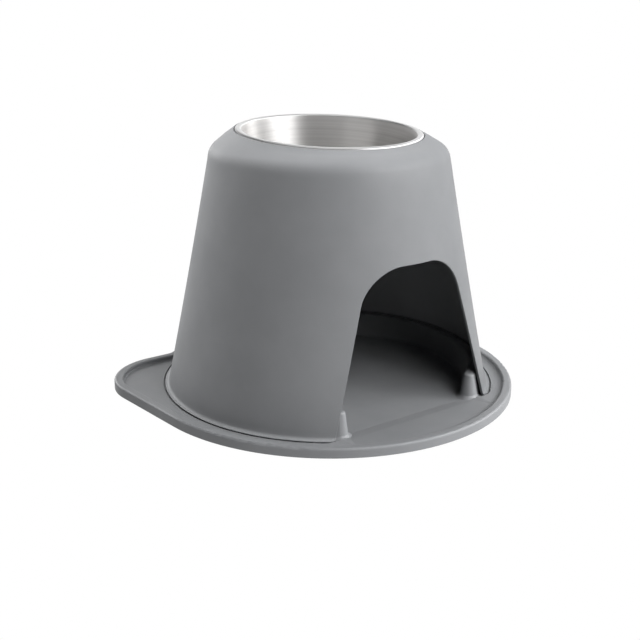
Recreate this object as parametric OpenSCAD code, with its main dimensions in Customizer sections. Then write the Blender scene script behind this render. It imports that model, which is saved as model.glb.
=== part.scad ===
// Elevated pet feeder: a moulded stand with an arch, on a lipped floor mat, and a steel bowl
// dropped into its tilted top. Millimetres, +Z up, the arch faces -Y, and the origin is on the
// stand's axis in the plane that the mat stands on.

/* [Bowl] */
// Height of the bowl's rim over the floor, on the stand's axis
rim_h = 252.5; // [230:0.5:320]
// Lean of the bowl and of its seat towards the arch, in degrees
bowl_lean = 2.8; // [0:0.1:5]
// Diameter over the rolled rim
rim_d = 178; // [150:1:186]
// Width of the rolled rim
rim_w = 5.7; // [4:0.1:8]
// Height of the rolled rim
rim_t = 4.2; // [3:0.1:6]
// Inside depth
bowl_depth = 55; // [40:1:75]
// Draft of the bowl's wall, in degrees
bowl_draft = 12; // [4:1:18]
// Radius between the bowl's wall and its bottom
bowl_r = 16; // [8:1:24]
// Thickness of the steel
steel_t = 0.9; // [0.6:0.1:1.5]

/* [Stand] */
// Diameter of the wall where it stands on the mat
base_d = 320; // [300:1:340]
// Diameter that the wall would have in the plane of the rim
neck_d = 220.2; // [212:0.2:240]
// Hollow of the wall between foot and shoulder, which gives the cone its flare
wall_flare = 1; // [0:0.1:3]
// Thickness of the moulded wall
wall_t = 2.6; // [2:0.1:4]
// Radius of the rounded shoulder
shoulder_r = 16.4; // [8:0.2:22]
// Depth of the shoulder's centre line under the rim
shoulder_drop = 26; // [22:0.5:32]
// Lean of the shoulder towards the arch, in degrees
shoulder_lean = 0.7; // [0:0.1:3]
// How far the rolled rim stands proud of the stand's top
rim_proud = 1.4; // [1:0.1:4]
// Play round the rim in its seat
seat_play = 0.6; // [0.3:0.1:1.5]
// Width of the ledge that carries the rim
ledge_w = 4.8; // [3:0.1:7]
// Thickness of that ledge
ledge_t = 3; // [2:0.1:5]

/* [Foot flange] */
// How far the flange reaches past the wall
flange_w = 3.8; // [3:0.1:10]
// Thickness of the flange
flange_t = 2.5; // [2:0.1:4]
// Radius of the hollow between wall and flange
foot_r = 3; // [1.5:0.1:3.2]
// Radius of the flange's top edge
flange_edge_r = 1.2; // [0.4:0.1:1.8]
// Radius of the flange's ends beside the arch
flange_end_r = 20; // [10:1:30]

/* [Arch] */
// Height of the arch over the floor
arch_h = 150; // [100:0.5:180]
// Width of the arch at the floor
arch_w = 183.5; // [140:0.5:210]
// Slant of the arch's sides, in degrees
arch_slant = 16; // [5:0.2:25]
// Radius of the arch's upper corners
arch_r = 44; // [15:1:50]

/* [Mat] */
// Width of the mat's floor between the flange's seat and the lip
floor_w = 8.5; // [4:0.5:30]
// Radius of the two back corners
corner_r = 61; // [30:1:80]
// How far the straight back edge lies inside the radius of the round front
back_in = 42; // [20:1:60]
// How far each back corner stands out past the radius of the round front
ear_w = 5.3; // [3:0.1:20]
// How far the flange's seat reaches into the foot of the lip behind the stand
lip_lap = 1.5; // [0:0.1:2.2]
// Radius of the hollow between that round part and the straight back edge
bulge_fillet_r = 12; // [10:1:30]
// Thickness of the mat's floor
floor_t = 5; // [4:0.1:8]
// Height of the raised lip
lip_h = 9.2; // [7:0.1:14]
// Width of the lip, down to its inner foot
lip_w = 11.4; // [10:0.1:16]
// Radius of the lip's outer edge
lip_edge_r = 2.3; // [0.5:0.1:3]
// Radius of the lip's inner edge
lip_inner_r = 1.8; // [0.5:0.1:3]
// Depth of the seat for the flange
seat_d = 2; // [1:0.1:3]
// Gap round the flange in its seat
flange_gap = 0.9; // [0.5:0.1:2.5]
// Length of the ramp from the floor inside the stand up to the floor in front
ramp_l = 36; // [20:1:60]

/* [Locating ridge] */
// Height of the ridge over the floor that it stands on
ridge_h = 24.5; // [12:0.5:32]
// Width of the ridge at its top, its rounding included
ridge_w = 10; // [7:0.5:14]
// Draft of the ridge's sides, in degrees
ridge_draft = 8.5; // [2:0.5:9]
// Radius of the ridge's top edges
ridge_edge_r = 2.5; // [1:0.1:2.6]
// Radius at the ridge's foot
ridge_foot_r = 3.5; // [1:0.5:4]
// Radius at the foot of the ridge's two ends, where the stand leaves room for it
peg_foot_r = 6.5; // [4:0.5:8]
// Play between the ridge and the inside of the wall, at the top of the ridge
ridge_play = 1.5; // [0.8:0.1:3]
// Angle between the arch's middle and either end of the ridge
ridge_end = 33; // [30:0.5:60]

/* [Hidden] */
$fn = 96;
plastic = [0.50, 0.51, 0.52];
steel = [0.84, 0.85, 0.87];

seat_z = floor_t - seat_d;
rim_r = rim_d / 2;
crown_z = rim_h - shoulder_drop;
// A step by which neighbouring lengths differ, so that no two faces lie in one place
hair = 0.02;
sweep_n = 192;
crown_n = 96;

// Outer radius of the stand's wall at height z
function wall_r(z) = base_d / 2 - (base_d - neck_d) / 2 * z / rim_h
    - 4 * wall_flare * z / rim_h * (1 - z / rim_h);
// Height where the wall ends and the shoulder begins
joint_z = crown_z + 1;
shoulder_c = wall_r(joint_z) - shoulder_r;
flange_d = 2 * (wall_r(seat_z) + flange_w);
flange_end_c = flange_d / 2 - flange_end_r + 0.15;
// Radius of the mat's round front, and of the round part of its back edge, behind the stand
mat_r = flange_d / 2 + flange_gap + floor_w + lip_w;
bulge_r = flange_d / 2 + flange_gap + lip_w - lip_lap;
back_y = mat_r - back_in;
// Centre line of the locating ridge
ridge_c = wall_r(seat_z + ridge_h) - wall_t - ridge_play - ridge_w / 2;
// The chord between the ridge's ends, where the ramp in front of the stand begins
chord_y = -ridge_c * cos(ridge_end) - 1;
corner_x = mat_r + ear_w - corner_r;
corner_y = back_y - corner_r;
// Outward direction of the straight side between the round front and a back corner
side_a = atan2(corner_y, corner_x) - acos((mat_r - corner_r) / norm([corner_x, corner_y]));
// Where the hollow behind the stand is centred, and the direction in which it meets the round part
bulge_x = sqrt(pow(bulge_r + bulge_fillet_r, 2) - pow(back_y + bulge_fillet_r, 2));
bulge_a = atan2(back_y + bulge_fillet_r, bulge_x);

function unit(v) = v / norm(v);
function dir(a) = [cos(a), sin(a)];
function half_angle(p, a, b) = acos(unit(a - p) * unit(b - p)) / 2;
function touch(p, a, b, r) = p + unit(a - p) * r / tan(half_angle(p, a, b));
function centre(p, a, b, r) = p + unit(unit(a - p) + unit(b - p)) * r / sin(half_angle(p, a, b));
function turn(p, a, b) = cross(p - a, b - p);

// A counterclockwise outline of [x, y, radius] corners with true arcs, convex and hollow. Each arc
// is a hair larger than its radius, so that it crosses its two sides instead of just touching them
module rounded(pts) {
    n = len(pts);
    q = [for (p = pts) [p[0], p[1]]];
    difference() {
        union() {
            polygon([for (i = [0:n - 1]) let (a = q[(i + n - 1) % n], b = q[(i + 1) % n], r = pts[i][2])
                each r == 0 ? [q[i]] : [touch(q[i], a, b, r), touch(q[i], b, a, r)]]);
            for (i = [0:n - 1]) let (a = q[(i + n - 1) % n], b = q[(i + 1) % n], r = pts[i][2])
                if (r > 0 && turn(q[i], a, b) > 0) translate(centre(q[i], a, b, r)) circle(r * 1.001);
        }
        for (i = [0:n - 1]) let (a = q[(i + n - 1) % n], b = q[(i + 1) % n], r = pts[i][2])
            if (r > 0 && turn(q[i], a, b) < 0) translate(centre(q[i], a, b, r)) circle(r * 1.001);
    }
}

// The frame of the bowl and its seat: z = 0 is the top of the rim
module leaning() {
    translate([0, 0, rim_h]) rotate([bowl_lean, 0, 0]) children();
}

// Section of the mat's lip, x = 0 at the outer wall and x < 0 inwards; t thins it all round
module lip_section(t = 0) {
    inner = -lip_w + 2.4 + t;
    foot = floor_t - 0.05 - t;
    rounded([[-lip_w + 1 + t, 0, 0], [-t, 0, 0], [-t, lip_h - t, lip_edge_r], [inner, lip_h - t, lip_inner_r],
        [inner, foot, 1.8], [-lip_w - 2 + t, foot, 0], [-lip_w - 2 + t, floor_t - 1, 0],
        [-lip_w + 1 + t, floor_t - 1, 0]]);
}

// One straight length of lip, along the edge whose outward direction is a, run into its neighbours
module lip_run(from, a, length) {
    translate([from[0], from[1], 0]) rotate([90, 0, a]) translate([0, 0, -0.5]) linear_extrude(length + 1)
        lip_section(hair);
}

module lip() {
    rotate_extrude(start = -180 - side_a, angle = 180 + 2 * side_a, $fn = sweep_n)
        translate([mat_r, 0]) lip_section();
    rotate_extrude(start = bulge_a, angle = 180 - 2 * bulge_a, $fn = sweep_n)
        translate([bulge_r, 0]) lip_section();
    for (s = [0, 1]) mirror([s, 0, 0]) {
        lip_run([corner_x, corner_y] + corner_r * dir(side_a), side_a, [corner_x, corner_y] * dir(side_a + 90));
        translate([corner_x, corner_y, 0])
            rotate_extrude(start = side_a, angle = 90 - side_a, $fn = sweep_n)
            translate([corner_r, 0]) lip_section();
        lip_run([bulge_x, back_y], 90, corner_x - bulge_x);
        translate([bulge_x, back_y + bulge_fillet_r, 0])
            rotate_extrude(start = 179 + bulge_a, angle = 92 - bulge_a)
            translate([bulge_fillet_r, 0]) mirror([1, 0]) lip_section(2 * hair);
    }
}

// The mat's floor, which ends inside the lip
module floor_outline() {
    half = concat([(mat_r - lip_w / 2) * dir(side_a)], [for (k = [0:3])
        [corner_x, corner_y] + (corner_r - lip_w / 2) * dir(side_a + k / 3 * (90 - side_a))]);
    intersection() {
        circle(mat_r - lip_w / 2, $fn = sweep_n);
        translate([-mat_r, -mat_r]) square([2 * mat_r, mat_r + corner_y]);
    }
    circle(bulge_r - lip_w / 2, $fn = sweep_n);
    polygon(concat(half, [for (k = [4:-1:0]) [-half[k][0], half[k][1]]]));
}

// The ramp in front of the stand, with soft sides beside the ridge's ends
module ramp() {
    x = ridge_c * sin(ridge_end) - 12;
    intersection() {
        translate([-ridge_c, 0, 0]) rotate([90, 0, 90]) linear_extrude(2 * ridge_c)
            polygon([[chord_y + 1, seat_z], [chord_y, seat_z], [chord_y - ramp_l / 3, seat_z + seat_d * 0.58],
                [chord_y - ramp_l, floor_t], [chord_y - ramp_l, floor_t + 1], [chord_y + 1, floor_t + 1]]);
        rotate([90, 0, 0]) linear_extrude(mat_r)
            polygon([[-x, seat_z], [x, seat_z], [x + 24, floor_t + 1], [-x - 24, floor_t + 1]]);
    }
}

// Plan of the flange, with its two ends rounded beside the arch; gap widens it
module flange_end(gap = 0) {
    a = end_angle();
    for (s = [-1, 1]) translate([s * flange_end_c * sin(a), -flange_end_c * cos(a)]) circle(flange_end_r + gap);
}

// Direction of the centre of a flange end: its arc passes just outside the wall's corner at the arch
function end_angle() = let (
    w = wall_r(seat_z + flange_t) + 0.6,
    leg = asin((arch_w / 2 - (seat_z + flange_t) * tan(arch_slant)) / w))
    leg + acos((flange_end_c * flange_end_c + w * w - flange_end_r * flange_end_r) / (2 * flange_end_c * w));

module seat_outline() {
    intersection() {
        circle(flange_d / 2 + flange_gap, $fn = sweep_n);
        translate([-mat_r, chord_y]) square([2 * mat_r, 2 * mat_r]);
    }
    flange_end(flange_gap);
}

// Half of the ridge's section, x = 0 on its centre line; t thins it
module ridge_half(t = 0) {
    b = ridge_w / 2 + ridge_h * tan(ridge_draft) - t;
    rounded([[0, -1, 0], [b + ridge_foot_r, -1, 0], [b + ridge_foot_r, -0.15 - t, 0], [b, -0.15 - t, ridge_foot_r],
        [ridge_w / 2 - t, ridge_h - t, ridge_edge_r], [0, ridge_h - t, 0]]);
}

// The C-shaped ridge that the stand's wall drops over, with a tapered round end at each leg
module ridge() {
    translate([0, 0, seat_z]) {
        rotate_extrude(start = ridge_end - 90, angle = 360 - 2 * ridge_end, $fn = sweep_n)
            translate([ridge_c, 0]) {
                ridge_half();
                mirror([1, 0]) ridge_half();
            }
        for (s = [0, 1]) mirror([s, 0, 0])
            translate([ridge_c * sin(ridge_end), -ridge_c * cos(ridge_end), 0])
            rotate_extrude() ridge_half(hair);
        for (s = [0, 1]) mirror([s, 0, 0]) peg_foot();
    }
}

// The wide soft foot of the ridge's end, a little inside its side and kept clear of the stand's wall
module peg_foot() {
    b = ridge_w / 2 + ridge_h * tan(ridge_draft);
    in = b - 0.3;
    intersection() {
        translate([ridge_c * sin(ridge_end), -ridge_c * cos(ridge_end), 0]) rotate_extrude()
            rounded([[0, -1, 0], [in + peg_foot_r, -1, 0], [in + peg_foot_r, -0.2, 0], [in, -0.2, peg_foot_r],
                [in - ridge_h / 2 * tan(ridge_draft), ridge_h / 2, 0], [0, ridge_h / 2, 0]]);
        translate([0, 0, -2]) cylinder(r = ridge_c + b + 0.8 * ridge_foot_r, h = ridge_h, $fn = sweep_n);
    }
}

module mat() {
    color(plastic) {
        difference() {
            union() {
                difference() {
                    linear_extrude(floor_t) floor_outline();
                    ramp();
                }
                lip();
            }
            translate([0, 0, seat_z]) linear_extrude(lip_h) seat_outline();
        }
        ridge();
    }
}

// Outer and inner outline of the stand up to its shoulder
module wall_section(inset = 0) {
    steps = 6;
    top = joint_z;
    foot = seat_z + flange_t;
    if (inset > 0)
        polygon(concat([[0, seat_z - 1]], [for (k = [0:steps])
            let (z = k == 0 ? seat_z - 1 : seat_z + (top - seat_z) * k / steps) [wall_r(z) - inset, z]],
            [[0, top]]));
    else
        rounded(concat([[0, seat_z, 0], [flange_d / 2, seat_z, 0], [flange_d / 2, foot, flange_edge_r],
            [wall_r(foot), foot, foot_r]], [for (k = [1:steps])
            let (z = seat_z + (top - seat_z) * k / steps) [wall_r(z), z, 0]], [[0, top, 0]]));
}

// The crown: a rounded level shoulder drawn together to the leaning seat of the bowl
module crown(inset, top_r, top_z) {
    r = shoulder_r - inset;
    hull() {
        translate([0, 0, joint_z - 3]) cylinder(r = wall_r(joint_z) - inset + 0.12, h = 3, $fn = crown_n);
        translate([0, 0, crown_z]) rotate([shoulder_lean, 0, 0]) rotate_extrude($fn = crown_n)
            polygon(concat([[0, 0]], [for (k = [1:6]) let (a = 15 * k - 0.001)
                [shoulder_c + r * cos(a) - 0.1, r * sin(a)]], [[0, r]]));
        leaning() translate([0, 0, top_z - 1]) cylinder(r = top_r, h = 1, $fn = crown_n);
    }
}

module arch_cut() {
    x = tan(arch_slant);
    rotate([90, 0, 0]) linear_extrude(flange_d)
        rounded([[-arch_w / 2 - 2 * x, -2, 0], [arch_w / 2 + 2 * x, -2, 0],
            [arch_w / 2 - arch_h * x, arch_h, arch_r], [-arch_w / 2 + arch_h * x, arch_h, arch_r]]);
}

// What comes off the corners of the flange beside the arch
module flange_end_cut() {
    a = end_angle();
    c = flange_end_c;
    translate([0, 0, seat_z - 1]) linear_extrude(flange_t + foot_r + 2) difference() {
        for (s = [-1, 1]) polygon([[s * c * sin(a), -c * cos(a)],
            [s * (c + 30) * sin(a), -(c + 30) * cos(a)],
            [s * (c + 30) * sin(a - 11), -(c + 30) * cos(a - 11)],
            [s * (c + 6) * sin(a - 11), -(c + 6) * cos(a - 11)]]);
        flange_end();
    }
}

module stand() {
    seat_under = -rim_t - ledge_t;
    color(plastic) difference() {
        union() {
            rotate_extrude() wall_section();
            crown(0, rim_r + seat_play + 0.9, -rim_proud);
        }
        rotate_extrude() wall_section(wall_t);
        crown(wall_t, rim_r + seat_play + 4.5, seat_under);
        leaning() translate([0, 0, -rim_t]) cylinder(r = rim_r + seat_play, h = rim_t + 5);
        leaning() translate([0, 0, seat_under - 5]) cylinder(r = rim_r - ledge_w, h = 5 + ledge_t + 1);
        arch_cut();
        flange_end_cut();
    }
}

module bowl() {
    slope = tan(bowl_draft);
    in_r = rim_r - rim_w;
    out = in_r + steel_t / cos(bowl_draft);
    color(steel) leaning() rotate_extrude() difference() {
        union() {
            rounded([[0, -bowl_depth - steel_t, 0],
                [out - (bowl_depth + steel_t) * slope, -bowl_depth - steel_t, bowl_r + steel_t],
                [out - 2 * slope, -2, 0], [0, -2, 0]]);
            rounded([[0, -rim_t, 0], [rim_r, -rim_t, 1.9], [rim_r, 0, 2], [in_r, 0, 2], [in_r - 1, -rim_t + 1, 0],
                [0, -rim_t + 1, 0]]);
        }
        rounded([[-1, -bowl_depth, 0], [in_r - bowl_depth * slope, -bowl_depth, bowl_r],
            [in_r + 1 * slope, 1, 0], [-1, 1, 0]]);
    }
}

mat();
stand();
bowl();
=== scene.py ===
import math

import bpy
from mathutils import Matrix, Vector


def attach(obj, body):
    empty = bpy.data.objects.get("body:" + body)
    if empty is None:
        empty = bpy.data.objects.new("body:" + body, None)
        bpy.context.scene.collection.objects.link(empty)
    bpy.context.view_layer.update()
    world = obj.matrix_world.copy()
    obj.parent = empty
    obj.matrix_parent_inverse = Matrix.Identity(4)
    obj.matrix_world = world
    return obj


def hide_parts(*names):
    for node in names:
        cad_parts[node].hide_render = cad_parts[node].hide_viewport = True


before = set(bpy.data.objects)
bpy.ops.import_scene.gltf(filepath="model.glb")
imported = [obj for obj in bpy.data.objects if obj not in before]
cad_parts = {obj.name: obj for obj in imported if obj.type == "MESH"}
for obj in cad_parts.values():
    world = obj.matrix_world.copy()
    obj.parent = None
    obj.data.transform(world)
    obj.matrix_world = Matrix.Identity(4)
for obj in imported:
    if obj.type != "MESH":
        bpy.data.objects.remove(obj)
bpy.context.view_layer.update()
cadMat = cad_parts["mat"]


def newMaterial(name):
    material = bpy.data.materials.new(name)
    material.use_nodes = True
    tree = material.node_tree
    return material, tree, tree.nodes["Principled BSDF"]


def objectNoise(tree, scale, detail=3.0, roughness=0.55, stretch=(1, 1, 1)):
    coords = tree.nodes.new("ShaderNodeTexCoord")
    mapping = tree.nodes.new("ShaderNodeMapping")
    mapping.inputs["Scale"].default_value = stretch
    noise = tree.nodes.new("ShaderNodeTexNoise")
    noise.inputs["Scale"].default_value = scale
    noise.inputs["Detail"].default_value = detail
    noise.inputs["Roughness"].default_value = roughness
    tree.links.new(coords.outputs["Object"], mapping.inputs["Vector"])
    tree.links.new(mapping.outputs["Vector"], noise.inputs["Vector"])
    return noise


def colourRamp(tree, source, dark, light, low=0.3, high=0.7):
    ramp = tree.nodes.new("ShaderNodeValToRGB")
    ramp.color_ramp.elements[0].position = low
    ramp.color_ramp.elements[0].color = dark
    ramp.color_ramp.elements[1].position = high
    ramp.color_ramp.elements[1].color = light
    tree.links.new(source, ramp.inputs["Fac"])
    return ramp


def mapRange(tree, source, outLow, outHigh, inLow=0.3, inHigh=0.7):
    node = tree.nodes.new("ShaderNodeMapRange")
    node.inputs["From Min"].default_value = inLow
    node.inputs["From Max"].default_value = inHigh
    node.inputs["To Min"].default_value = outLow
    node.inputs["To Max"].default_value = outHigh
    tree.links.new(source, node.inputs["Value"])
    return node


mouldedPlastic = {
    "colour": (0.200, 0.205, 0.213),
    "colourSpread": 0.012,
    "roughness": 0.52,
    "roughnessSpread": 0.05,
    "grainScale": 900.0,
    "grainStrength": 0.5,
    "grainDepth": 0.00012,
    "cloudScale": 14.0,
    "edgeRadius": 0.0005,  # moulded edges catch the light
    "edgeSamples": 6,
    "ior": 1.46,
}


def makePlastic(name, values):
    material, tree, shader = newMaterial(name)
    r, g, b = values["colour"]
    spread = values["colourSpread"]
    cloud = objectNoise(tree, values["cloudScale"], detail=4.0)
    tint = colourRamp(tree, cloud.outputs["Fac"], (r - spread, g - spread, b - spread, 1),
                      (r + spread, g + spread, b + spread, 1))
    tree.links.new(tint.outputs["Color"], shader.inputs["Base Color"])
    rough = mapRange(tree, cloud.outputs["Fac"], values["roughness"] + values["roughnessSpread"],
                     values["roughness"] - values["roughnessSpread"])
    tree.links.new(rough.outputs["Result"], shader.inputs["Roughness"])
    grain = objectNoise(tree, values["grainScale"], detail=2.0)
    bump = tree.nodes.new("ShaderNodeBump")
    bump.inputs["Strength"].default_value = values["grainStrength"]
    bump.inputs["Distance"].default_value = values["grainDepth"]
    edge = tree.nodes.new("ShaderNodeBevel")
    edge.samples = values["edgeSamples"]
    edge.inputs["Radius"].default_value = values["edgeRadius"]
    tree.links.new(edge.outputs["Normal"], bump.inputs["Normal"])
    tree.links.new(grain.outputs["Fac"], bump.inputs["Height"])
    tree.links.new(bump.outputs["Normal"], shader.inputs["Normal"])
    shader.inputs["IOR"].default_value = values["ior"]
    return material


steelFinish = {
    "colour": (0.80, 0.79, 0.78),
    "roughness": 0.42,
    "roughnessSpread": 0.07,
    "brushStretch": 0.86,  # how far a highlight is drawn out across the brushing
    "brushUpward": 0.08,  # the wall's share of the direction across the brushing
    "brushRings": 620.0,
    "brushDetail": 5.0,
    "brushContrast": 0.7,
    "brushStrength": 0.3,
    "brushDepth": 0.00012,
    "brushSpread": 0.09,
    "driftScale": 26.0,
    "driftStretch": (1, 1, 0.2),
    "bowlLean": 2.8,
    "rimCentre": (0, 0.01233, 0.2522),  # once the lean is taken off
}


def makeSteel(name, values):
    material, tree, shader = newMaterial(name)
    shader.inputs["Metallic"].default_value = 1.0
    shader.inputs["Anisotropic"].default_value = values["brushStretch"]
    coords = tree.nodes.new("ShaderNodeTexCoord")
    upright = tree.nodes.new("ShaderNodeMapping")  # the bowl leans with the stand's top
    upright.inputs["Location"].default_value = [-v for v in values["rimCentre"]]
    upright.inputs["Rotation"].default_value = (math.radians(-values["bowlLean"]), 0, 0)
    tree.links.new(coords.outputs["Object"], upright.inputs["Vector"])
    split = tree.nodes.new("ShaderNodeSeparateXYZ")
    tree.links.new(upright.outputs["Vector"], split.inputs["Vector"])
    # across the brushing is outward on the bottom and upward on the wall
    across = tree.nodes.new("ShaderNodeCombineXYZ")
    tree.links.new(split.outputs["X"], across.inputs["X"])
    tree.links.new(split.outputs["Y"], across.inputs["Y"])
    across.inputs["Z"].default_value = values["brushUpward"]
    tree.links.new(across.outputs["Vector"], shader.inputs["Tangent"])
    # spun steel: fine rings round the bowl's axis, read from the distance to that axis
    flat = tree.nodes.new("ShaderNodeCombineXYZ")
    tree.links.new(split.outputs["X"], flat.inputs["X"])
    tree.links.new(split.outputs["Y"], flat.inputs["Y"])
    length = tree.nodes.new("ShaderNodeVectorMath")
    length.operation = "LENGTH"
    tree.links.new(flat.outputs["Vector"], length.inputs[0])
    rings = tree.nodes.new("ShaderNodeCombineXYZ")
    tree.links.new(length.outputs["Value"], rings.inputs["X"])
    tree.links.new(split.outputs["Z"], rings.inputs["Y"])
    brush = tree.nodes.new("ShaderNodeTexNoise")
    brush.inputs["Scale"].default_value = values["brushRings"]
    brush.inputs["Detail"].default_value = values["brushDetail"]
    brush.inputs["Roughness"].default_value = values["brushContrast"]
    tree.links.new(rings.outputs["Vector"], brush.inputs["Vector"])
    drift = objectNoise(tree, values["driftScale"], detail=4.0, stretch=values["driftStretch"])
    rough = mapRange(tree, drift.outputs["Fac"], values["roughness"] - values["roughnessSpread"],
                     values["roughness"] + values["roughnessSpread"])
    tree.links.new(rough.outputs["Result"], shader.inputs["Roughness"])
    r, g, b = values["colour"]
    spread = values["brushSpread"]
    tint = colourRamp(tree, brush.outputs["Fac"], (r - spread, g - spread, b - spread, 1),
                      (r + spread, g + spread, b + spread, 1))
    tree.links.new(tint.outputs["Color"], shader.inputs["Base Color"])
    bump = tree.nodes.new("ShaderNodeBump")
    bump.inputs["Strength"].default_value = values["brushStrength"]
    bump.inputs["Distance"].default_value = values["brushDepth"]
    tree.links.new(brush.outputs["Fac"], bump.inputs["Height"])
    tree.links.new(bump.outputs["Normal"], shader.inputs["Normal"])
    return material


matPlastic = makePlastic("matPlastic", mouldedPlastic)
standPlastic = makePlastic("standPlastic", dict(mouldedPlastic, edgeRadius=0.0009, roughness=0.60))
steel = makeSteel("spunSteel", steelFinish)
polishedSteel = makeSteel("polishedSteel", dict(
    steelFinish, colour=(0.86, 0.86, 0.86), roughness=0.40, roughnessSpread=0.03,
    brushStretch=0.0, brushDepth=0.000003, brushSpread=0.01))


def dress(obj, material):
    obj.data.materials.clear()
    obj.data.materials.append(material)


dress(cadMat, matPlastic)
print("stage 2: materials on the pieces")


# one smooth moulded shell, drawn up ring by ring and then cut for its arch
standShape = {
    "around": 288,  # corners in each ring
    "baseRadius": 0.1600, "neckRadius": 0.1101, "rimHeight": 0.2525, "wallHollow": 0.001,
    "wall": 0.0026, "wallSlope": 12, "wallStart": 0.003, "outerSteps": 24, "innerSteps": 12,
    "shoulderRadius": 0.0164, "shoulderDrop": 0.026, "shoulderLean": 0.7,
    "shoulderMatch": 0.001,  # above its foot, where the shoulder takes its radius from the wall
    "shoulderTurns": (9, 18, 27, 36, 45), "innerTurns": (40, 20),  # degrees up from the wall
    # where the shoulder runs out into the leaning top: radius, height, forward shift, lean
    "runOut": [(0.1084, 0.2393, 0.0009, 0.26), (0.1069, 0.2403, 0.00195, 0),
               (0.0990, 0.2458, 0.0011, 1.36)],
    "innerRunOut": (0.1046, 0.2383, 0.00285, 0),
    "bowlLean": 2.8, "topRadius": 0.0905, "topDrop": 0.0014,
    "topEdge": [(0.0004, 0.00045), (-0.0001, 0.00003)],  # further out and down than the top
    "boreRadius": 0.0896, "boreEdge": 0.0003,
    "ledgeDrop": 0.0042, "ledgeRadius": 0.0842, "ledgeUnder": 0.0072, "ledgeOutside": 0.0941,
    "footHeight": 0.003, "flangeTop": 0.0058, "flangeReach": 0.0030, "flangeEdge": 0.0007,
    "flangeUnder": 0.0049, "flangeUnderEdge": (0.0003, 0.0002), "flangeUndercut": 0.0022,
    "footHollow": 0.003,
    "archHeight": 0.150, "archWidth": 0.1835, "archSlant": 16.0, "archCorner": 0.044,
    "archBelow": 0.002, "archReach": 0.184, "archSegments": 28,
    "flangeEndRadius": 0.020, "flangeEndReach": 0.14331, "flangeEndTurn": 38.94,
    "flangeEndMiddle": (0.1625, 0.0075, 0.0060),  # outward, along the flange and up
    "flangeEndBlock": (0.025, 0.015, 0.0080), "flangeEndAround": 160, "flangeEndDepth": 0.02,
    "smoothAngle": 30,
}


def clearSelection():
    if bpy.context.mode != "OBJECT":
        bpy.ops.object.mode_set(mode="OBJECT")
    bpy.ops.object.select_all(action="DESELECT")


def wallRadius(height, values=standShape):
    up = height / values["rimHeight"]
    return (values["baseRadius"] - (values["baseRadius"] - values["neckRadius"]) * up
            - 4 * values["wallHollow"] * up * (1 - up))


# each ring's radius, height, forward shift and lean in degrees, up the outside and down the inside
def standRings(values):
    rings = []
    foot, top = values["footHeight"], values["flangeTop"]
    edge, hollow = values["flangeEdge"], values["footHollow"]
    flange = wallRadius(foot) + values["flangeReach"]
    rings.append((flange - values["flangeUndercut"], foot, 0, 0))
    inward, upward = values["flangeUnderEdge"]
    rings.append((flange - inward, values["flangeUnder"], 0, 0))
    rings.append((flange, values["flangeUnder"] + upward, 0, 0))
    for step in range(1, 5):
        turn = math.radians(22.5 * step)
        rings.append((flange - edge + edge * math.cos(turn), top - edge + edge * math.sin(turn), 0, 0))
    slope = values["wallSlope"]
    hollowAt = wallRadius(top + hollow) + hollow / math.cos(math.radians(slope))
    for step in range(6):
        turn = math.radians(270 - (90 - slope) * step / 5)
        rings.append((hollowAt + hollow * math.cos(turn), top + hollow + hollow * math.sin(turn), 0, 0))
    crown = values["rimHeight"] - values["shoulderDrop"]
    first = top + hollow + values["wallStart"]
    for step in range(values["outerSteps"] + 1):
        height = first + (crown - first) * step / values["outerSteps"]
        rings.append((wallRadius(height), height, 0, 0))
    lean, bend = values["shoulderLean"], values["shoulderRadius"]
    shoulder = wallRadius(crown + values["shoulderMatch"]) - bend
    for turn in values["shoulderTurns"]:
        up = bend * math.sin(math.radians(turn))
        rings.append((shoulder + bend * math.cos(math.radians(turn)), crown + up,
                      -up * math.sin(math.radians(lean)), lean))
    rings.extend(values["runOut"])
    tilt = values["bowlLean"]

    def leaningRing(radius, drop):
        rings.append((radius, values["rimHeight"] - drop * math.cos(math.radians(tilt)),
                      drop * math.sin(math.radians(tilt)), tilt))
    for outward, down in values["topEdge"]:
        leaningRing(values["topRadius"] + outward, values["topDrop"] + down)
    leaningRing(values["boreRadius"] + values["boreEdge"], values["topDrop"])
    leaningRing(values["boreRadius"], values["topDrop"] + values["boreEdge"])
    leaningRing(values["boreRadius"], values["ledgeDrop"])
    leaningRing(values["ledgeRadius"], values["ledgeDrop"])
    leaningRing(values["ledgeRadius"], values["ledgeUnder"])
    leaningRing(values["ledgeOutside"], values["ledgeUnder"])
    rings.append(values["innerRunOut"])
    inner = bend - values["wall"]
    for turn in values["innerTurns"]:
        up = inner * math.sin(math.radians(turn))
        rings.append((shoulder + inner * math.cos(math.radians(turn)), crown + up, 0, lean))
    for step in range(values["innerSteps"] + 1):
        height = crown + (foot - crown) * step / values["innerSteps"]
        rings.append((wallRadius(height) - values["wall"], height, 0, 0))
    return rings


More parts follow.
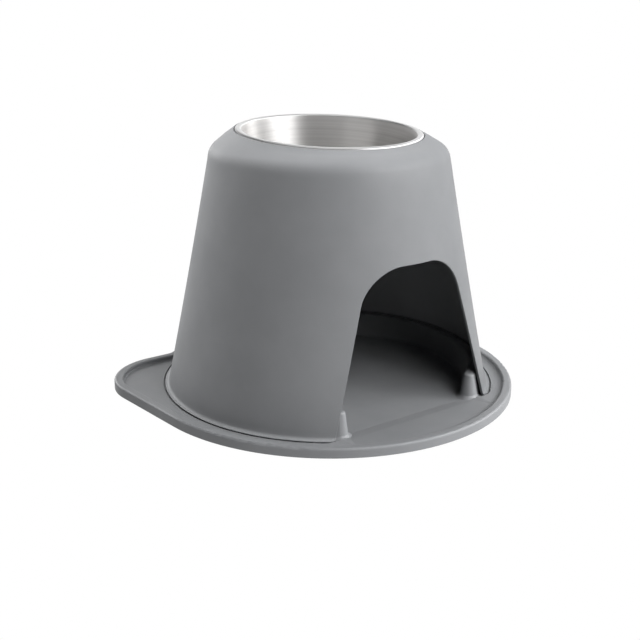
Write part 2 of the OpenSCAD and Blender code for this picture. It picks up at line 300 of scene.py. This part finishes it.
def drawUpRings(name, rings, around, closed):
    clearSelection()
    radius, height, shift, lean = rings[0]
    bpy.ops.mesh.primitive_circle_add(vertices=around, radius=radius, location=(0, shift, height),
                                      rotation=(math.radians(lean), 0, 0))
    shell = bpy.context.object
    shell.name = name
    bpy.ops.object.transform_apply(location=True, rotation=True, scale=True)
    bpy.ops.object.mode_set(mode="EDIT")
    bpy.ops.mesh.select_mode(type="EDGE")
    bpy.ops.mesh.select_all(action="SELECT")
    for newRadius, newHeight, newShift, newLean in rings[1:]:
        step = (0, newShift - shift, newHeight - height)
        bpy.ops.mesh.extrude_region_move(TRANSFORM_OT_translate={"value": step})
        scale = newRadius / radius
        centre = (0, newShift, newHeight)
        bpy.ops.transform.resize(value=(scale, scale, scale), center_override=centre)
        if abs(newLean - lean) > 1e-9:
            bpy.ops.transform.rotate(value=-math.radians(newLean - lean), orient_axis="X",
                                     center_override=centre)
        radius, height, shift, lean = newRadius, newHeight, newShift, newLean
    bpy.ops.mesh.select_all(action="DESELECT")
    bpy.ops.mesh.select_non_manifold()  # the first and the last ring are still open
    if closed:
        bpy.ops.mesh.bridge_edge_loops()
    else:
        bpy.ops.mesh.fill_holes(sides=0)
    bpy.ops.mesh.select_all(action="SELECT")
    bpy.ops.mesh.remove_doubles(threshold=1e-6)
    bpy.ops.mesh.normals_make_consistent(inside=False)
    bpy.ops.object.mode_set(mode="OBJECT")
    return shell


def cutAway(piece, cutter):
    clearSelection()
    piece.select_set(True)
    bpy.context.view_layer.objects.active = piece
    bpy.ops.object.modifier_add(type="BOOLEAN")
    boolean = piece.modifiers[-1]
    boolean.operation = "DIFFERENCE"
    boolean.solver = "EXACT"
    boolean.object = cutter
    bpy.ops.object.modifier_apply(modifier=boolean.name)
    bpy.data.objects.remove(cutter, do_unlink=True)


def selectWhere(obj, kind, test):
    bpy.ops.mesh.select_all(action="DESELECT")
    bpy.ops.mesh.select_mode(type=kind)
    bpy.ops.object.mode_set(mode="OBJECT")
    if kind == "VERT":
        for corner in obj.data.vertices:
            corner.select = test(corner.co)
    else:
        for edge in obj.data.edges:
            edge.select = test(*[obj.data.vertices[k].co for k in edge.vertices])
    bpy.ops.object.mode_set(mode="EDIT")


def archCutter(values):
    clearSelection()
    slope = math.tan(math.radians(values["archSlant"]))
    low, high, depth = -values["archBelow"], values["archHeight"], values["archReach"]
    middle = (low + high) / 2
    wide = values["archWidth"] / 2 - low * slope
    narrow = values["archWidth"] / 2 - high * slope
    bpy.ops.mesh.primitive_cube_add(size=1, location=(0, -depth / 2, middle),
                                    scale=(2 * wide, depth, high - low))
    cutter = bpy.context.object
    bpy.ops.object.transform_apply(location=True, rotation=True, scale=True)
    bpy.ops.object.mode_set(mode="EDIT")
    selectWhere(cutter, "VERT", lambda co: co.z > middle)
    bpy.ops.transform.resize(value=(narrow / wide, 1, 1), center_override=(0, 0, high))
    selectWhere(cutter, "EDGE", lambda a, b: min(a.z, b.z) > middle and abs(a.y - b.y) > depth / 2)
    reach = values["archCorner"] / math.tan(math.radians(90 + values["archSlant"]) / 2)
    bpy.ops.mesh.bevel(offset=reach, offset_type="OFFSET", segments=values["archSegments"],
                       profile=0.5, affect="EDGES")
    bpy.ops.object.mode_set(mode="OBJECT")
    return cutter


def flangeEndCutter(values, side):
    clearSelection()
    turn = math.radians(values["flangeEndTurn"])
    outward = Vector((side * math.sin(turn), -math.cos(turn), 0))
    along = Vector((-side * math.cos(turn), -math.sin(turn), 0))
    out, aside, up = values["flangeEndMiddle"]
    middle = outward * out + along * aside + Vector((0, 0, up))
    bpy.ops.mesh.primitive_cube_add(size=1, location=middle, scale=values["flangeEndBlock"],
                                    rotation=(0, 0, math.atan2(outward.y, outward.x)))
    block = bpy.context.object
    bpy.ops.object.transform_apply(location=True, rotation=True, scale=True)
    bpy.ops.object.select_all(action="DESELECT")
    centre = outward * values["flangeEndReach"] + Vector((0, 0, up))
    bpy.ops.mesh.primitive_cylinder_add(vertices=values["flangeEndAround"], radius=values["flangeEndRadius"],
                                        depth=values["flangeEndDepth"], location=centre)
    bar = bpy.context.object
    bpy.ops.object.transform_apply(location=True, rotation=True, scale=True)
    cutAway(block, bar)
    return block


def makeStand(values):
    shell = drawUpRings("standShell", standRings(values), values["around"], True)
    cutAway(shell, archCutter(values))
    for side in (-1, 1):
        cutAway(shell, flangeEndCutter(values, side))
    clearSelection()
    shell.select_set(True)
    bpy.context.view_layer.objects.active = shell
    bpy.ops.object.shade_smooth_by_angle(angle=math.radians(values["smoothAngle"]))
    return shell


standShell = makeStand(standShape)
dress(standShell, standPlastic)
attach(standShell, "root")
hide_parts("stand")
print("stage 3: stand", len(standShell.data.vertices), "corners",
      [round(v, 4) for v in standShell.dimensions])


bowlShape = {
    "around": 256,
    "rimHeight": 0.2525, "lean": 2.8,
    "rimRadius": 0.0890, "rimWidth": 0.0057, "rimThick": 0.0042, "rimRound": 0.0020, "rimHollow": 0.0006,
    "lipRound": 0.0022, "lipFoot": 0.0024,
    "depth": 0.055, "draft": 12.0, "hub": 0.012, "floorRing": 0.035, "floorRound": 0.016,
    "wallSteps": 6, "wallRing": 0.022,
    "steel": 0.0009,
    "polishInward": 0.0003,  # how far the polish goes past the rim's flat into the bowl
    "smoothAngle": 30,
}


# radius and drop below the rim, from the middle of the floor, over the rim and back underneath
def bowlProfile(values):
    draft = math.radians(values["draft"])
    slope = math.tan(draft)
    mouth = values["rimRadius"] - values["rimWidth"]
    steel = values["steel"]
    corner = values["floorRound"]
    cornerAt = mouth - values["depth"] * slope - corner / math.tan((math.pi / 2 + draft) / 2)
    points = [(values["hub"], values["depth"]), (values["floorRing"], values["depth"])]

    def arc(radius, drop, size, first, last, steps):
        for step in range(steps + 1):
            turn = math.radians(first + (last - first) * step / steps)
            points.append((radius + size * math.cos(turn), drop - size * math.sin(turn)))
    arc(cornerAt, values["depth"] - corner, corner, -90, -values["draft"], 9)
    lip = values["lipRound"]
    lipAt = mouth + lip / math.tan((math.pi / 2 + draft) / 2)
    low, high = points[-1][1], values["lipFoot"]
    for step in range(1, values["wallSteps"]):
        drop = low + (high - low) * step / values["wallSteps"]
        points.append((mouth - drop * slope, drop))
    arc(lipAt, lip, lip, 180 - values["draft"], 90, 7)
    edge = values["rimRound"]
    arc(values["rimRadius"] - edge, edge, edge, 90, 0, 7)
    arc(values["rimRadius"] - edge, values["rimThick"] - edge, edge, 0, -90, 5)
    outside = mouth + steel / math.cos(draft)
    under, hollow = values["rimThick"], values["rimHollow"]
    points.append((outside - under * slope + hollow, under))
    points.append((outside - (under + hollow) * slope, under + hollow))
    points.append((outside - values["wallRing"] * slope, values["wallRing"]))
    arc(cornerAt, values["depth"] - corner, corner + steel, -values["draft"], -90, 9)
    points.append((values["hub"], values["depth"] + steel))
    return points


def makeBowl(values):
    lean = math.radians(values["lean"])
    rings = []
    for radius, drop in bowlProfile(values):
        rings.append((radius, values["rimHeight"] - drop * math.cos(lean), drop * math.sin(lean),
                      values["lean"]))
    bowl = drawUpRings("bowlShell", rings, values["around"], False)
    bpy.ops.object.shade_smooth_by_angle(angle=math.radians(values["smoothAngle"]))
    return bowl


bowlShell = makeBowl(bowlShape)
dress(bowlShell, steel)
bowlShell.data.materials.append(polishedSteel)
polishFrom = bowlShape["rimRadius"] - bowlShape["rimWidth"] - bowlShape["polishInward"]
for face in bowlShell.data.polygons:
    reach = math.hypot(face.center.x, face.center.y)
    face.material_index = 1 if reach > polishFrom else 0
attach(bowlShell, "root")
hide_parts("bowl")
print("stage 4: bowl", len(bowlShell.data.vertices), "corners")


studio = {
    "cameraSide": -37.4,  # the way the camera looks from, in degrees about the stand's axis
    "aimHeight": 0.14,
    "floorSize": 120.0,
    "floorHeight": -0.0002,
    "floorGlow": 1.0,
    "skyUp": 0.0,  # light from above the horizon
    "skyDown": 0.66,  # light that a pale room gives back from below
    "skyFade": 0.15,
    "mirrorLow": 0.95,  # what polished steel sees of the room at eye level
    "mirrorHigh": 0.06,  # and higher up
    "mirrorFade": 0.4,
}


def addFloor(values):
    clearSelection()
    bpy.ops.mesh.primitive_plane_add(size=values["floorSize"], location=(0, 0, values["floorHeight"]))
    floor = bpy.context.object
    floor.name = "studioFloor"
    material, _, shader = newMaterial("paleFloor")
    shader.inputs["Base Color"].default_value = (0, 0, 0, 1)
    shader.inputs["Roughness"].default_value = 1.0
    shader.inputs["Specular IOR Level"].default_value = 0.0
    shader.inputs["Emission Color"].default_value = (1, 1, 1, 1)
    shader.inputs["Emission Strength"].default_value = values["floorGlow"]
    floor.data.materials.append(material)
    floor.visible_diffuse = False  # a white sweep for the picture only, so that it casts no light back
    floor.visible_glossy = False
    floor.visible_shadow = False


standLamps = [
    # name, metres to the camera's right, towards it and up, size in metres, watts
    ("keyPanel", 1.7, 0.9, 1.3, 0.6, 43.0),
    ("rightOverheadPanel", 1.4, 0.2, 1.7, 1.2, 12.0),
    ("rightPanel", 1.9, 0.1, 0.8, 1.0, 13.0),
    ("leftBackPanel", -1.4, -1.3, 0.9, 1.0, 24.0),
    ("backOverheadPanel", 0.0, -1.3, 1.8, 1.3, 12.3),
    ("overheadPanel", 0.0, 0.0, 2.1, 1.6, 23.5),
    ("leftOverheadPanel", -1.4, 0.2, 1.7, 1.2, 11.0),
    ("leftPanel", -1.9, 0.1, 0.8, 1.0, 3.5),
    ("frontPanel", 0.0, 2.1, 0.7, 1.0, 2.5),
]
matLamps = [
    # the mat has its own mix, with more light in through the arch
    ("matRightPanel", 1.9, 0.1, 0.8, 1.0, 47.0),
    ("matLeftBackPanel", -1.4, -1.3, 0.9, 1.0, 29.0),
    ("matFrontPanel", 0.8, 1.5, 1.3, 0.8, 16.0),
    ("matArchPanel", 1.3, 1.05, 1.5, 1.2, 29.0),
    ("matBackOverheadPanel", 0.0, -1.3, 1.8, 1.3, 6.5),
    ("matOverheadPanel", 0.0, 0.0, 2.1, 1.6, 5.3),
    ("matRightBackPanel", 1.4, -1.3, 0.9, 1.0, 8.1),
    ("matBackPanel", 0.0, -2.0, 0.7, 1.0, 3.1),
]
steelLamps = [
    # the bowl mirrors softer panels, which give its upright bands
    ("bandPanel", 2.05, 0.65, 1.3, 1.7, 28.0),
    ("sidePanel", 1.6, -1.5, 1.2, 1.1, 10.0),
    ("fillPanel", 2.15, -0.45, 1.25, 0.8, 4.0),
    ("leftBandPanel", -1.2, 1.85, 1.3, 0.7, 0.6),
    ("rimPanel", 0.0, 0.0, 2.1, 2.5, 13.0),
    ("rimBackPanel", 0.0, -2.2, 0.9, 2.0, 9.5),
]


def addLamp(receivers, name, right, near, up, size, watts):
    turn = math.radians(studio["cameraSide"])
    place = Vector((right * math.cos(turn) + near * math.sin(turn),
                    right * math.sin(turn) - near * math.cos(turn), up))
    direction = Vector((0, 0, studio["aimHeight"])) - place
    bpy.ops.object.light_add(type="AREA", location=place,
                             rotation=direction.to_track_quat("-Z", "Y").to_euler())
    lamp = bpy.context.object
    lamp.name = name
    lamp.data.size = size
    lamp.data.energy = watts
    lamp.light_linking.receiver_collection = receivers


def lampGroup(name, lamps, pieces):
    receivers = bpy.data.collections.new(name)
    for piece in pieces:
        receivers.objects.link(piece)
    for lamp in lamps:
        addLamp(receivers, *lamp)


def addSky(values):
    world = bpy.data.worlds.new("paleStudio")
    bpy.context.scene.world = world
    world.use_nodes = True
    tree = world.node_tree
    coords = tree.nodes.new("ShaderNodeTexCoord")
    split = tree.nodes.new("ShaderNodeSeparateXYZ")
    tree.links.new(coords.outputs["Generated"], split.inputs["Vector"])
    height = split.outputs["Z"]
    lit = mapRange(tree, height, values["skyDown"], values["skyUp"], -values["skyFade"], values["skyFade"])
    seen = mapRange(tree, height, values["mirrorLow"], values["mirrorHigh"], 0.0, values["mirrorFade"])
    rays = tree.nodes.new("ShaderNodeLightPath")
    strength = lit.outputs["Result"]
    for ray, other in (("Is Glossy Ray", seen.outputs["Result"]), ("Is Camera Ray", None)):
        choice = tree.nodes.new("ShaderNodeMix")
        tree.links.new(rays.outputs[ray], choice.inputs["Factor"])
        tree.links.new(strength, choice.inputs["A"])
        if other:
            tree.links.new(other, choice.inputs["B"])
        else:
            choice.inputs["B"].default_value = 1.0
        strength = choice.outputs["Result"]
    tree.links.new(strength, tree.nodes["Background"].inputs["Strength"])
    tree.nodes["Background"].inputs["Color"].default_value = (1, 1, 1, 1)


addFloor(studio)
lampGroup("standPieces", standLamps, [standShell])
lampGroup("matPieces", matLamps, [cadMat])
lampGroup("steelPieces", steelLamps, [bowlShell])
addSky(studio)

# camera fitted to the photograph: wall outline, rim, arch and the mat's front
cameraFit = {
    "place": (-0.61072, -0.79878, 0.39370),
    "turnDegrees": (71.8286, -0.3477, -36.8505),
    "lens": 59.756,
    "sensor": 36.0,
}
bpy.ops.object.camera_add(location=cameraFit["place"],
                          rotation=[math.radians(v) for v in cameraFit["turnDegrees"]])
camera = bpy.context.object
camera.data.lens = cameraFit["lens"]
camera.data.sensor_width = cameraFit["sensor"]
bpy.context.scene.camera = camera
bpy.context.scene.view_settings.view_transform = "Standard"
print("stage 5: floor, lamps and camera")
